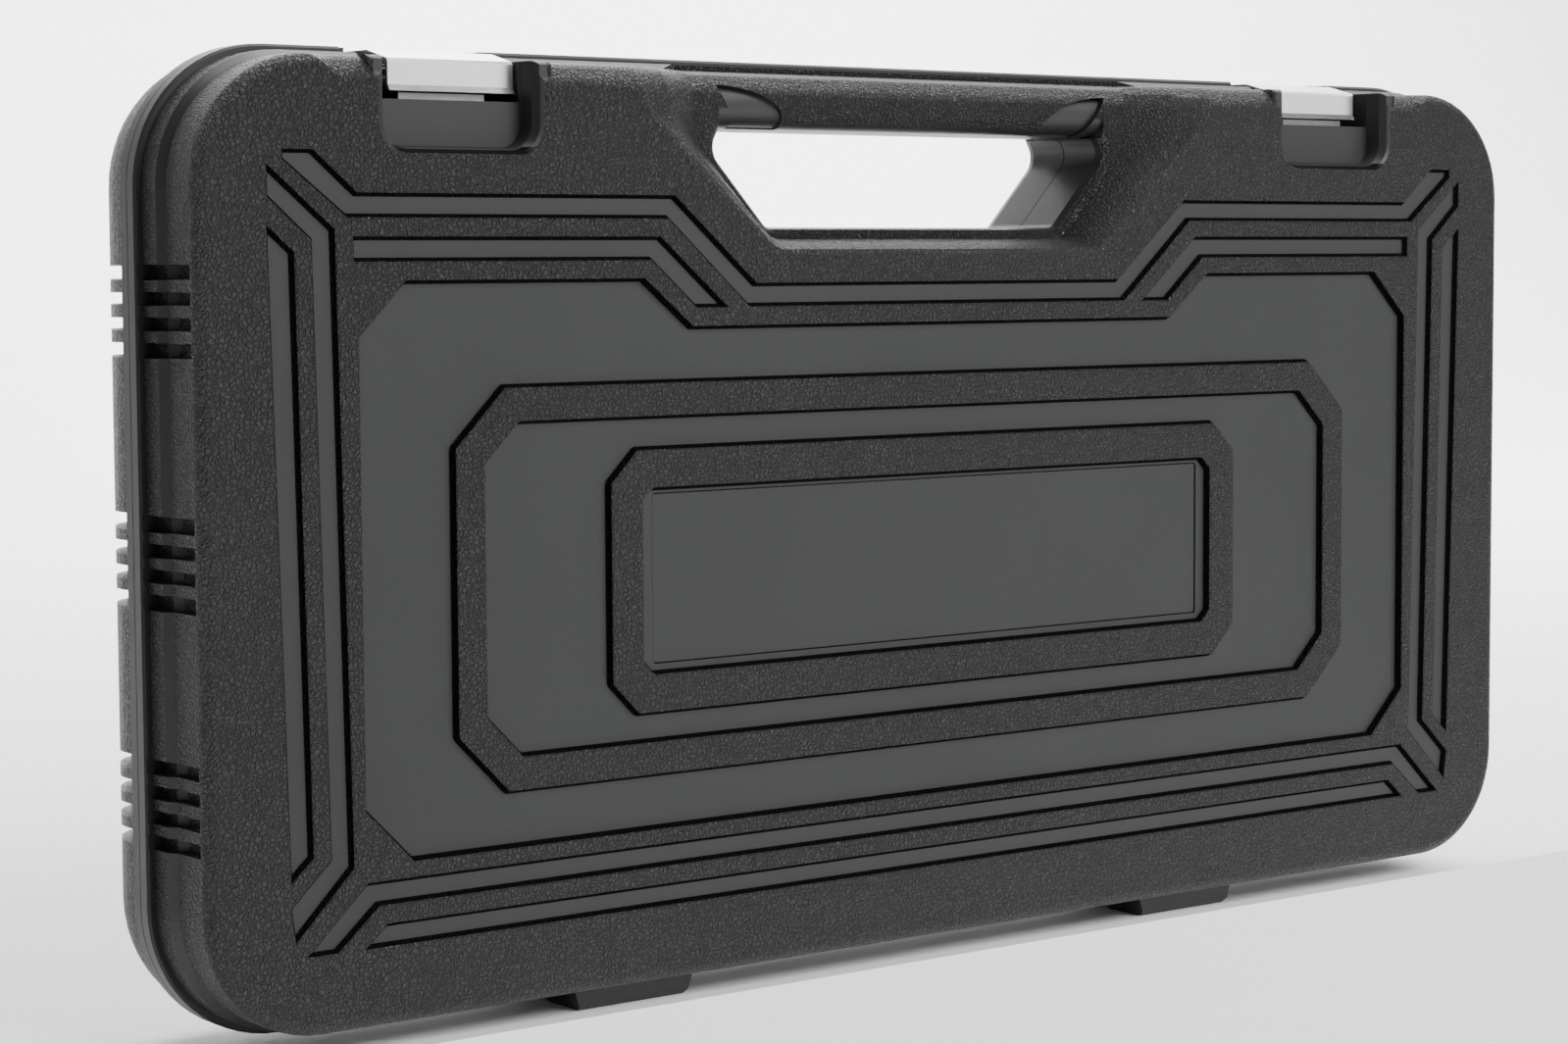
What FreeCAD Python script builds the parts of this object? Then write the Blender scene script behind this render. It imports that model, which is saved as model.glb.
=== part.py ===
"""Socket wrench set in a hinged blow-moulded case, standing upright on its hinge feet.

Frame, in millimetres: +Z up, the decorated lid half faces -Y, and X runs along the case.
The origin is under the middle of the case, on the surface it stands on.
The two halves meet at y = 0. The back half is fixed, and the lid turns about the hinge pins.
"""
import FreeCAD
import Part
import math
import os

V = FreeCAD.Vector
X_AXIS, Y_AXIS, Z_AXIS = V(1, 0, 0), V(0, 1, 0), V(0, 0, 1)

# ---------------------------------------------------------------- case, outside
HALF_DEPTH = 30.0          # each half, from the joint line to its face
JOINT_GAP = 0.15           # each half stops this far short of y = 0
RIM_HALF_W, RIM_LOW, RIM_TOP, RIM_R = 252.0, 3.7, 267.2, 38.0
RIM_DEPTH = 4.2            # the smooth rim along the joint line
RIM_TO_BODY = 2.0          # how far the side walls stand in from the rim
STEP_NEAR, STEP_FAR = 12.0, 15.0   # depth at which the side wall steps in
STEP_IN = 1.5
FACE_ROUND = 3.5           # rounding between the lid's side walls and its face
BACK_ROUND = 21.0          # the same on the back half, which is rounder
SIDE_WALL, FACE_WALL = 3.8, 4.0
WALL = 2.3                 # walls around openings and notches

# ---------------------------------------------------------------- face pattern
GROOVE_DEPTH = 1.7         # the strips
PANEL_DEPTH = 2.3          # the large panel
RELIEF_R = 0.7             # rounding of every relief edge
PANEL_HALF_W, PANEL_LOW, PANEL_TOP = 201.0, 50.8, 204.7
PANEL_CHAMFER = 14.5
PANEL_DIP_TOP = 191.2      # the panel's top edge under the handle
DIP_INNER, DIP_OUTER = 93.0, 109.5
LABEL_HALF_W, LABEL_LOW, LABEL_TOP = 106.3, 97.0, 145.0

# ---------------------------------------------------------------- handle
GRIP_LOW = 247.5           # underside of the grip
HOLE_LOW = 219.2
HOLE_HALF_LOW, HOLE_HALF_WIDE, HOLE_HALF_TOP = 56.2, 76.6, 72.8
HOLE_SHOULDER = 241.2      # height of the widest point of the opening
DISH_DEPTH = 11.5
DISH_SHALLOW = 3.0         # depth where the dip's slope steepens
DISH_LOW, DISH_HALF_LOW = 212.0, 63.0
DISH_SHOULDER, DISH_HALF_TOP = 252.5, 109.0
GRIP_ROUND = 8.0
FACET_IN, FACET_OUT, FACET_TOP = 49.5, 75.5, 259.6
FACET_R, FACET_SINK = 7.0, 1.7

# ---------------------------------------------------------------- side ribs
RIB_ZONES = [(57.3, 81.3), (119.9, 144.9), (185.2, 209.6)]
RIB_H, RIB_PITCH, RIB_NOTCH = 2.7, 6.55, 3.0

# ---------------------------------------------------------------- latches
LATCH_X = 166.0
LATCH_W = 39.5
LATCH_T = 1.2
LATCH_PIN_Y, LATCH_PIN_Z, LATCH_PIN_R = 12.0, 263.2, 1.5
LATCH_BARREL_R = 3.0
LEAF_Y, LEAF_LOW, LEAF_TOP = -20.5, 255.0, 263.7
SCOOP_X, SCOOP_HALF_W, SCOOP_FLOOR_HALF_W = 168.0, 26.3, 22.5
SCOOP_LOW, SCOOP_Y = 238.2, -22.2
LEDGE_Z = 252.7
KEEPER_TOP = 254.6
REST_FLOOR_Z = 257.5       # floor of the back half's latch recess
REST_DEPTH = 19.5
RUNNING = 0.05             # radial clearance of a turning fit

# ---------------------------------------------------------------- hinge and feet
HINGE_X = 109.0
AXIS_Z = 3.4
HINGE_PIN_R = 1.5
KNUCKLE_R, KNUCKLE_RELIEF = 3.3, 3.6
KNUCKLE_MID = 7.7          # half width of the back half's knuckle
KNUCKLE_END = 17.0         # outer end of the lid's knuckles
FOOT_HALF_LOW, FOOT_HALF_TOP, FOOT_TOP, FOOT_Y = 18.0, 22.5, 8.7, 21.0
FOOT_BACK_TOP = 11.8       # the back half curves up over its feet
STOP_ANGLE = 50.5          # the feet meet as a stop when the lid is open

# ---------------------------------------------------------------- trays
BASE_DECK_Y, LID_DECK_Y = 4.0, -16.0
DECK_T = 2.0
POCKET_WALL = 1.5
TRAY_GAP = 0.3
PLAY = 0.4                 # play of a tool in its pocket

# ---------------------------------------------------------------- half-inch tools
SQUARE = 12.7
SOCKETS = [(10, 22.0), (11, 22.0), (12, 22.0), (13, 22.0), (14, 22.0), (15, 22.5),
           (16, 23.5), (17, 24.5), (18, 25.5), (19, 26.5), (20, 28.0), (21, 29.5),
           (22, 30.5), (24, 33.0), (27, 37.0)]
SOCKET_L = 38.0
SOCKET_Z = 27.5            # open ends of the row of sockets
SOCKET_GAP = 4.3
SPARK_SOCKETS = [(16, 22.0, 55.0), (21, 27.5, 124.0)]
SPARK_L, SPARK_Z = 66.0, 86.0
EXTENSIONS = [(250, -228.0, 86.0), (125, 78.0, 168.0)]
EXTENSION_R, EXTENSION_HEAD_R, EXTENSION_Y = 6.3, 11.0, 10.0
BAR_X, BAR_Z, BAR_Y, BAR_L, BAR_R = -103.0, 122.0, 9.0, 250.0, 6.0
BAR_HEAD_W, BAR_HEAD_R = 26.0, 12.5
RATCHET_X, RATCHET_Z = -196.0, 172.0
RATCHET_R, RATCHET_HALF_T = 21.0, 9.0
RATCHET_L = 252.0
PIVOT_DX = 20.5            # from the gear's axis to the lever's
GEAR_R, GEAR_TEETH = 13.4, 36
GRIP_R, GRIP_L = 14.0, 112.0
WRENCHES = [(8, 118.0), (10, 138.0), (12, 156.0), (13, 166.0),
            (14, 176.0), (15, 184.0), (17, 200.0), (19, 218.0)]


# ================================================================ plain shapes
def box(x0, x1, y0, y1, z0, z1):
    return Part.makeBox(x1 - x0, y1 - y0, z1 - z0, V(x0, y0, z0))


def rod(radius, start, end):
    """A cylinder from one point to another."""
    axis = end - start
    return Part.makeCylinder(radius, axis.Length, start, axis)


def fuse(shapes):
    shapes = list(shapes)
    if len(shapes) == 1:
        return shapes[0]
    return shapes[0].multiFuse(shapes[1:]).removeSplitter()


def cut(shape, tools):
    tools = list(tools)
    return shape.cut(tools[0] if len(tools) == 1 else tools[0].multiFuse(tools[1:]))


def group(shapes):
    """Separate solids that share one node."""
    return Part.makeCompound(list(shapes))


def mirror_x(shape):
    return shape.mirror(V(0, 0, 0), X_AXIS)


def mirror_y(shape):
    return shape.mirror(V(0, 0, 0), Y_AXIS)


def both_sides(shape):
    return [shape, mirror_x(shape)]


# ================================================================ outlines in XZ
def outline(corners, y):
    """Closed wire in the plane y through corners (x, z, rounding)."""
    points = [V(x, y, z) for x, z, _ in corners]
    edges, joins = [], []
    for i, (_, _, radius) in enumerate(corners):
        here = points[i]
        back = (points[i - 1] - here).normalize()
        ahead = (points[(i + 1) % len(points)] - here).normalize()
        if radius <= 0:
            joins.append((here, here))
            continue
        half = back.getAngle(ahead) / 2
        reach = radius / math.tan(half)
        first, last = here + back * reach, here + ahead * reach
        bulge = (back + ahead).normalize() * (radius / math.sin(half) - radius)
        edges.append((i, Part.Arc(first, here + bulge, last).toShape()))
        joins.append((first, last))
    ordered = []
    arcs = dict(edges)
    for i in range(len(points)):
        if i in arcs:
            ordered.append(arcs[i])
        start, end = joins[i][1], joins[(i + 1) % len(points)][0]
        if start.distanceToPoint(end) > 1e-6:
            ordered.append(Part.makeLine(start, end))
    return Part.Wire(ordered)


def area(corners):
    total = 0.0
    for (x0, z0, _), (x1, z1, _) in zip(corners, corners[1:] + corners[:1]):
        total += x0 * z1 - x1 * z0
    return total / 2


def grown(corners, amount):
    """The same outline with every side moved outward by amount."""
    turn = 1.0 if area(corners) > 0 else -1.0
    count = len(corners)
    moved = []
    for i in range(count):
        (xa, za, _), (xb, zb, radius), (xc, zc, _) = (
            corners[i - 1], corners[i], corners[(i + 1) % count])
        d0 = V(xb - xa, 0, zb - za).normalize()
        d1 = V(xc - xb, 0, zc - zb).normalize()
        n0 = V(d0.z, 0, -d0.x) * turn
        n1 = V(d1.z, 0, -d1.x) * turn
        shift = (n0 + n1) * (amount / (1 + n0.dot(n1)))
        outside_corner = (d0.x * d1.z - d0.z * d1.x) * turn > 0
        if radius > 0:
            radius = max(radius + (amount if outside_corner else -amount), 0.15)
        moved.append((xb + shift.x, zb + shift.z, radius))
    return moved


def prism(corners, y0, y1):
    return Part.Face(outline(corners, y0)).extrude(V(0, y1 - y0, 0))


def layered(sections):
    """A solid through outlines (corners, y), straight between one and the next."""
    return Part.makeLoft([outline(c, y) for c, y in sections], True, True)


def rectangle(half_w, low, top, radius, middle=0.0):
    return [(middle - half_w, low, radius), (middle + half_w, low, radius),
            (middle + half_w, top, radius), (middle - half_w, top, radius)]


def pressed(corners, depth, slope=0.35):
    """The space of a recess pressed into the lid's face, with rounded edges."""
    face = -HALF_DEPTH
    soft = RELIEF_R
    steps = [(-1.0, soft), (0.0, soft), (soft * 0.30, soft * 0.30), (soft, 0.0),
             (depth - 0.45, -slope), (depth, -slope - 0.45)]
    return layered([(grown(corners, out), face + into) for into, out in steps])


def raised(corners, height, floor_depth):
    """A plateau that stands on the floor of a recess, with rounded edges."""
    floor = -HALF_DEPTH + floor_depth
    soft = RELIEF_R
    steps = [(-0.8, 0.75), (0.0, 0.75), (0.45, 0.3), (height - soft, 0.0),
             (height - soft * 0.30, -soft * 0.30), (height, -soft)]
    return layered([(grown(corners, out), floor - up) for up, out in steps])


# ================================================================ face pattern
def mirrored(half):
    """Close an outline given as its right half, from bottom to top."""
    return half + [(-x, z, r) for x, z, r in reversed(half)]


def panel_outline():
    c = PANEL_CHAMFER
    return mirrored([(PANEL_HALF_W - c, PANEL_LOW, 0), (PANEL_HALF_W, PANEL_LOW + c, 0),
                     (PANEL_HALF_W, PANEL_TOP - c, 0), (PANEL_HALF_W - c, PANEL_TOP, 0),
                     (DIP_OUTER, PANEL_TOP, 0), (DIP_INNER, PANEL_DIP_TOP, 0)])


def top_strip():
    """The long strip over the panel, which drops under the handle."""
    upper = [(223.0, 238.6, 0), (214.2, 238.6, 0), (201.2, 227.6, 0),
             (98.9, 227.6, 0), (70.6, 203.1, 0)]
    lower = [(223.0, 236.2, 0), (204.2, 221.6, 0), (101.2, 221.6, 0), (73.0, 196.9, 0)]
    right = lower[::-1] + upper
    return right + [(-x, z, r) for x, z, r in reversed(right)]


def corner_strips():
    """The strips that follow the panel's right side, one outline each."""
    second_top = [(202.3, 216.2, 0), (202.3, 210.1, 0), (107.0, 210.1, 0),
                  (91.5, 196.8, 0), (81.2, 196.8, 0), (104.0, 216.2, 0)]
    side_in = [(222.7, 33.4, 0), (224.0, 42.0, 0), (211.7, 53.6, 0), (214.8, 215.5, 0),
               (227.6, 226.7, 0), (227.6, 234.5, 0), (208.2, 218.2, 0), (205.2, 50.9, 0)]
    side_out = [(223.8, 49.2, 0), (227.8, 218.8, 0), (220.3, 212.3, 0), (217.4, 54.9, 0)]
    return [second_top, side_in, side_out]


def bottom_strips():
    upper = mirrored([(197.6, 40.1, 0), (210.4, 29.0, 0), (219.0, 29.0, 0), (200.9, 46.1, 0)])
    lower = [(-201.4, 28.9, 0), (201.4, 28.9, 0), (195.0, 34.6, 0), (-195.0, 34.6, 0)]
    return [upper, lower]


def cartouche():
    """Two plain raised frames around the smooth label field."""
    def frame(half_w, low, top, width, chamfer):
        def corners(inset, cut_off):
            w, b, t = half_w - inset, low + inset, top - inset
            return [(w - cut_off, b, 1.5), (w, b + cut_off, 1.5), (w, t - cut_off, 1.5),
                    (w - cut_off, t, 1.5), (-w + cut_off, t, 1.5), (-w, t - cut_off, 1.5),
                    (-w, b + cut_off, 1.5), (-w + cut_off, b, 1.5)]
        height = PANEL_DEPTH - 0.2
        outer = raised(corners(0, chamfer), height, PANEL_DEPTH)
        inner = raised_hole(corners(width, chamfer - width * 0.5), height, PANEL_DEPTH)
        return outer.cut(inner)
    wide = frame(172.0, 66.0, 176.0, 9.5, 16.0)
    close = frame(121.5, 83.5, 157.5, 11.0, 9.0)
    return [wide, close]


def raised_hole(corners, height, floor_depth):
    """The space inside a raised frame, with the same rounded edges."""
    floor = -HALF_DEPTH + floor_depth
    soft = RELIEF_R
    steps = [(-2.0, -0.75), (0.0, -0.75), (0.45, -0.3), (height - soft, 0.0),
             (height - soft * 0.30, soft * 0.30), (height, soft), (height + 1.0, soft)]
    return layered([(grown(corners, out), floor - up) for up, out in steps])


def strips():
    tools = [pressed(top_strip(), GROOVE_DEPTH)]
    for corners in corner_strips():
        tools += both_sides(pressed(corners, GROOVE_DEPTH))
    tools += [pressed(corners, GROOVE_DEPTH) for corners in bottom_strips()]
    return tools


def panel(with_cartouche):
    space = pressed(panel_outline(), PANEL_DEPTH)
    if not with_cartouche:
        return space
    label = rectangle(LABEL_HALF_W, LABEL_LOW, LABEL_TOP, 1.0)
    deeper = layered([(label, -HALF_DEPTH + PANEL_DEPTH - 0.5),
                      (label, -HALF_DEPTH + PANEL_DEPTH),
                      (grown(label, -0.4), -HALF_DEPTH + PANEL_DEPTH + 0.4)])
    return cut(space, cartouche()).fuse(deeper)


# ================================================================ half shells
def rim_corners(inset=0.0):
    return rectangle(RIM_HALF_W - inset, RIM_LOW + inset, RIM_TOP - inset, RIM_R - inset)


def rounded_block(levels, radius):
    """A block through (inset, depth) levels inside the rim, its face edge rounded."""
    block = layered([(rim_corners(inset), -depth) for inset, depth in levels])
    deepest = levels[-1][1]
    edges = [e for e in block.Edges
             if abs(e.BoundBox.YMin + deepest) < 1e-4 and e.BoundBox.YLength < 1e-4]
    return block.makeFillet(radius, edges)


def body(is_lid, sink=0.0, start=RIM_DEPTH):
    """The body of one half without its rim, or a block that lies sink below its surface."""
    side = RIM_TO_BODY + sink
    if not is_lid:
        return rounded_block([(side, start), (side, HALF_DEPTH - sink)], BACK_ROUND - sink)
    levels = [(side, start), (side, STEP_NEAR), (side + STEP_IN, STEP_FAR),
              (side + STEP_IN, HALF_DEPTH - sink)]
    return rounded_block(levels, max(FACE_ROUND - sink, 0.3))


def envelope(is_lid):
    """Outside of one half as a front half, solid, with its rim."""
    rim = layered([(rim_corners(), -JOINT_GAP), (rim_corners(), -RIM_DEPTH + 0.7),
                   (rim_corners(0.7), -RIM_DEPTH)])
    joint = prism(rim_corners(RIM_TO_BODY), -RIM_DEPTH - 0.1, -JOINT_GAP)
    return fuse([body(is_lid), rim, joint])


def cavity(is_lid):
    inset = RIM_TO_BODY + SIDE_WALL
    if not is_lid:
        return rounded_block([(inset, -1.0), (inset, HALF_DEPTH - FACE_WALL)],
                             BACK_ROUND - SIDE_WALL)
    back = -HALF_DEPTH + FACE_WALL
    steps = [(inset + 6.0, back), (inset + 1.8, back + 1.8), (inset, back + 6.0), (inset, 1.0)]
    return layered([(rim_corners(i), y) for i, y in steps])


def hole_corners(extra=0.0):
    half = [(HOLE_HALF_LOW, HOLE_LOW, 4.0), (HOLE_HALF_WIDE, HOLE_SHOULDER, 6.0),
            (HOLE_HALF_TOP, GRIP_LOW, 2.5)]
    return grown(mirrored(half), extra)


def hole_tool():
    """The finger opening, rounded over into the dip of the face."""
    face = -HALF_DEPTH + DISH_DEPTH
    steps = [(-DISH_DEPTH - 2.0, 3.4), (0.0, 3.4), (0.7, 1.8), (2.0, 0.6),
             (4.2, 0.0), (HALF_DEPTH + 3.0, 0.0)]
    return layered([(hole_corners(out), face + into) for into, out in steps])


def dish_crest(extra=0.0):
    """Where the dip begins; it runs out over the top edge of the case."""
    return grown(mirrored([(DISH_HALF_LOW, DISH_LOW, 8.0), (DISH_HALF_TOP, DISH_SHOULDER, 12.0),
                           (DISH_HALF_TOP + 4.0, 285.0, 5.0)]), extra)


def dish_middle():
    return mirrored([(60.6, 214.0, 8.0), (98.0, 248.3, 12.0), (101.0, 285.0, 5.0)])


def dish_floor():
    return mirrored([(57.4, 216.2, 8.0), (83.0, 243.2, 10.0), (85.6, 285.0, 5.0)])


def dish_tool():
    """The dip of the face around the handle, gentle at first and steep near the opening."""
    face = -HALF_DEPTH
    return layered([(dish_crest(1.6), face - 1.0), (dish_crest(0.6), face),
                    (dish_crest(-0.8), face + 0.4), (dish_middle(), face + DISH_SHALLOW),
                    (dish_floor(), face + DISH_DEPTH)])


def along_x(sections):
    """A solid through (x, wire) sections that stand across the case."""
    return Part.makeLoft([wire for _, wire in sections], True, True)


def top_edge_wire(x, depth, top):
    """The corner outside the rounding of the handle's upper front edge, at one x."""
    front, r = -HALF_DEPTH + depth, GRIP_ROUND
    low, turn = top - r, r * (1 - math.sqrt(0.5))
    arc = Part.Arc(V(x, front, low), V(x, front + turn, top - turn), V(x, front + r, top))
    path = [V(x, front + r, top), V(x, front + r, top + 8), V(x, front - 12, top + 8),
            V(x, front - 12, low), V(x, front, low)]
    lines = [Part.makeLine(a, b) for a, b in zip(path, path[1:])]
    return Part.Wire([arc.toShape()] + lines)


def top_round(is_lid):
    """Material taken off the upper front edge, following the dip in front of the handle."""
    top = RIM_TOP - RIM_TO_BODY - (STEP_IN if is_lid else 0.0)
    half = [(84.6, DISH_DEPTH), (99.3, DISH_SHALLOW), (110.6, 0.0), (207.0, 0.0), (217.0, -5.0)]
    places = [(-x, d) for x, d in half[::-1]] + half
    return along_x([(x, top_edge_wire(x, d - 0.15, top)) for x, d in places])


def grip_round():
    """Rounding of the grip's lower front edge."""
    r = GRIP_ROUND
    front = -HALF_DEPTH + DISH_DEPTH
    half_w = HOLE_HALF_TOP + 2.0
    block = box(-half_w, half_w, front - 1, front + r, GRIP_LOW - 0.4, GRIP_LOW + r)
    return block.cut(rod(r, V(-half_w, front + r, GRIP_LOW + r), V(half_w, front + r, GRIP_LOW + r)))


def grip_facet():
    """The smooth, slimmer stretch at the right end of the grip, under a curved shoulder."""
    front = -HALF_DEPTH + DISH_DEPTH
    low = GRIP_LOW - 0.4
    ring = Part.Ellipse(V(FACET_OUT, front - 3.0, low), FACET_OUT - FACET_IN, FACET_TOP - low)
    ring.Axis = V(0, -1, 0)
    rise = Part.Face(Part.Wire([ring.toShape()])).extrude(V(0, 3.0 + FACET_R + FACET_SINK, 0))
    side = prism([(FACET_IN - 1.0, low, 0), (FACET_OUT - 8.0, low, 0), (FACET_OUT, FACET_TOP - 0.3, 0),
                  (FACET_OUT, FACET_TOP + 1, 0), (FACET_IN - 1.0, FACET_TOP + 1, 0)],
                 front - 3.0, front + FACET_R + FACET_SINK)
    centre_y, centre_z = front + FACET_SINK + FACET_R, GRIP_LOW + FACET_R + 0.5
    neck = rod(FACET_R, V(FACET_IN - 5, centre_y, centre_z), V(FACET_OUT + 5, centre_y, centre_z))
    return rise.common(side).cut(neck)


def facet_pad():
    """Solid backing of the right end of the grip."""
    front = -HALF_DEPTH + DISH_DEPTH
    return box(FACET_IN - 4.0, FACET_OUT + 8.0, front - 2.0, front + FACET_R + 3.5,
               GRIP_LOW - 3.0, GRIP_LOW + 14.0)


def rib_marks(low, top):
    """Heights of the edges of the three ribs in one zone, from the zone's low end."""
    middle = (low + top) / 2
    marks = [low]
    for k in (-1, 0, 1):
        centre = middle + k * RIB_PITCH
        marks += [centre - RIB_H / 2, centre + RIB_H / 2]
    return marks + [top]


def rib_notches(is_lid):
    """The spaces above, between and below the side ribs on both sides."""
    wall = RIM_HALF_W - RIM_TO_BODY
    core = body(is_lid, RIB_NOTCH, -1.0)
    spaces = []
    for low, top in RIB_ZONES:
        marks = rib_marks(low, top)
        for z0, z1 in zip(marks[::2], marks[1::2]):
            reach = 14.0 if not is_lid else RIB_NOTCH + STEP_IN + 1.0
            corners = [(wall - reach, z0 + 0.5, 0), (wall - RIB_NOTCH - STEP_IN, z0 + 0.5, 0),
                       (wall + 4, z0 - 0.25, 0), (wall + 4, z1 + 0.25, 0),
                       (wall - RIB_NOTCH - STEP_IN, z1 - 0.5, 0), (wall - reach, z1 - 0.5, 0)]
            far = -HALF_DEPTH + 3.2
            space = prism(corners, far, -RIM_DEPTH + 0.2).cut(core)
            spaces += both_sides(space)
    return spaces


def rib_pads(is_lid):
    """Extra wall behind the rib notches, on both sides."""
    wall = RIM_HALF_W - RIM_TO_BODY
    core = body(is_lid, RIB_NOTCH + WALL, -1.0)
    reach = 16.0 if not is_lid else RIB_NOTCH + STEP_IN + WALL
    pads = []
    for low, top in RIB_ZONES:
        block = box(wall - reach, wall - 1, -HALF_DEPTH + 1.0, -RIM_DEPTH, low - WALL, top + WALL)
        pads += both_sides(block.cut(core))
    return pads


def foot_profile(side):
    """Half foot in the YZ plane; side is -1 for the lid and +1 for the back half."""
    slant = AXIS_Z * math.tan(math.radians(STOP_ANGLE))
    start = 0.6
    back_top = FOOT_BACK_TOP if side > 0 else FOOT_TOP
    points = [(side * start, FOOT_TOP), (side * 10.0, FOOT_TOP), (side * FOOT_Y, back_top),
              (side * FOOT_Y, 1.6),
              (side * (FOOT_Y - 1.6), 0.0), (side * (start + slant), 0.0),
              (side * start, AXIS_Z)]
    return points


def foot(side, middle):
    """One foot block, narrower at the bottom and rounded at its ends."""
    points = [V(middle - FOOT_HALF_TOP, y, z) for y, z in foot_profile(side)]
    wire = Part.makePolygon(points + points[:1])
    block = Part.Face(wire).extrude(V(2 * FOOT_HALF_TOP, 0, 0))
    y0, y1 = sorted((side * 0.3, side * (FOOT_Y + 1)))
    trim = prism([(middle - FOOT_HALF_LOW, -1.0, 3.5), (middle + FOOT_HALF_LOW, -1.0, 3.5),
                  (middle + FOOT_HALF_TOP + 0.3, FOOT_BACK_TOP + 1, 1.0),
                  (middle - FOOT_HALF_TOP - 0.3, FOOT_BACK_TOP + 1, 1.0)], y0, y1)
    return block.common(trim)


def along_axis(radius, x0, x1):
    return rod(radius, V(x0, 0, AXIS_Z), V(x1, 0, AXIS_Z))


def lid_slices(middle, extra=0.0):
    inner, outer = KNUCKLE_MID + 0.3 - extra, KNUCKLE_END + extra
    return [(middle - outer, middle - inner), (middle + inner, middle + outer)]


def add_hinge(shell, side):
    """Feet and knuckles; the lid has the outer knuckles, the back half the middle one."""
    for middle in (-HINGE_X, HINGE_X):
        own = lid_slices(middle)
        other = [(middle - KNUCKLE_MID - 0.3, middle + KNUCKLE_MID + 0.3)]
        if side > 0:
            own = [(middle - KNUCKLE_MID, middle + KNUCKLE_MID)]
            other = lid_slices(middle, 0.3)
        shell = shell.fuse(foot(side, middle))
        shell = cut(shell, [along_axis(KNUCKLE_RELIEF, a, b) for a, b in other])
        knuckles = []
        for a, b in own:
            y0, y1 = sorted((0.0, side * 6.0))
            web = box(a, b, y0, y1, AXIS_Z - 1.2, AXIS_Z + KNUCKLE_R)
            knuckles.append(along_axis(KNUCKLE_R, a, b).fuse(web))
        shell = fuse([shell] + knuckles)
        bore = HINGE_PIN_R + (RUNNING if side < 0 else 0.0)
        shell = shell.cut(along_axis(bore, middle - 18.0, middle + 18.0))
    return shell


def plain_half(is_lid):
    """Everything that both halves share, as a front half."""
    solid = envelope(is_lid)
    shell = solid.cut(cavity(is_lid))
    collar = prism(hole_corners(WALL + 1.5), -HALF_DEPTH + 1, -JOINT_GAP)
    behind_dish = layered([(dish_crest(4.5), -HALF_DEPTH + 1),
                           (dish_crest(1.0), -HALF_DEPTH + DISH_DEPTH + WALL + 1)])
    inside = [collar, behind_dish] + both_sides(facet_pad())
    inside += rib_pads(is_lid)
    shell = fuse([shell, fuse(inside).common(solid)])
    shell = cut(shell, strips() + [panel(is_lid)] + rib_notches(is_lid))
    shell = cut(shell, [dish_tool(), top_round(is_lid)])
    shell = cut(shell, [hole_tool(), grip_round()] + both_sides(grip_facet()))
    return shell


def scoop_tool(middle):
    """The finger scoop in the lid's face under a latch leaf."""
    def corners(half_w, low, radius):
        return [(middle - half_w, low, radius), (middle + half_w, low, radius),
                (middle + half_w, RIM_TOP + 6, 1.0), (middle - half_w, RIM_TOP + 6, 1.0)]
    face = -HALF_DEPTH
    wide, slim = SCOOP_HALF_W, SCOOP_FLOOR_HALF_W
    return layered([(corners(wide + 1.0, SCOOP_LOW - 0.8, 9.0), face - 1.0),
                    (corners(wide, SCOOP_LOW, 8.6), face),
                    (corners(wide - 1.5, SCOOP_LOW + 0.7, 8.2), face + 0.8),
                    (corners(wide - 2.9, SCOOP_LOW + 1.4, 7.4), face + 3.0),
                    (corners(slim + 0.3, SCOOP_LOW + 1.8, 6.6), SCOOP_Y - 0.9),
                    (corners(slim, SCOOP_LOW + 2.3, 6.0), SCOOP_Y)])


def lid_shell():
    shell = plain_half(True)
    solid = envelope(True)
    for middle in (-SCOOP_X, SCOOP_X):
        half = SCOOP_HALF_W + WALL
        wall = box(middle - half, middle + half, -HALF_DEPTH + 1, -JOINT_GAP,
                   LEDGE_Z - WALL, RIM_TOP)
        front = box(middle - half, middle + half, -HALF_DEPTH + 1, SCOOP_Y + WALL,
                    SCOOP_LOW - WALL, RIM_TOP)
        shell = fuse([shell, wall.fuse(front).common(solid)])
        tunnel = box(middle - SCOOP_FLOOR_HALF_W, middle + SCOOP_FLOOR_HALF_W,
                     SCOOP_Y - 1.0, 1.0, LEDGE_Z, RIM_TOP + 2)
        shell = cut(shell, [scoop_tool(middle), tunnel])
        for x in (-1, 1):
            hole = rod(1.25, V(middle + x * 9.0, -16.0, LEDGE_Z - 4), V(middle + x * 9.0, -16.0,
                                                                         LEDGE_Z + 1))
            shell = shell.cut(hole)
    return add_hinge(shell, -1)


def base_shell():
    shell = mirror_y(plain_half(False))
    solid = mirror_y(envelope(False))
    for middle in (-LATCH_X, LATCH_X):
        half = LATCH_W / 2 + 1.0
        wall = box(middle - half - 5.0, middle + half + 5.0, JOINT_GAP, REST_DEPTH + WALL,
                   REST_FLOOR_Z - WALL, RIM_TOP)
        shell = fuse([shell, wall.common(solid)])
        recess = box(middle - half, middle + half, -1.0, REST_DEPTH, REST_FLOOR_Z, RIM_TOP + 2)
        pin_hole = rod(LATCH_PIN_R, V(middle - half - 3.5, LATCH_PIN_Y, LATCH_PIN_Z),
                       V(middle + half + 3.5, LATCH_PIN_Y, LATCH_PIN_Z))
        shell = cut(shell, [recess, pin_hole])
    return add_hinge(shell, 1)


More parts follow.
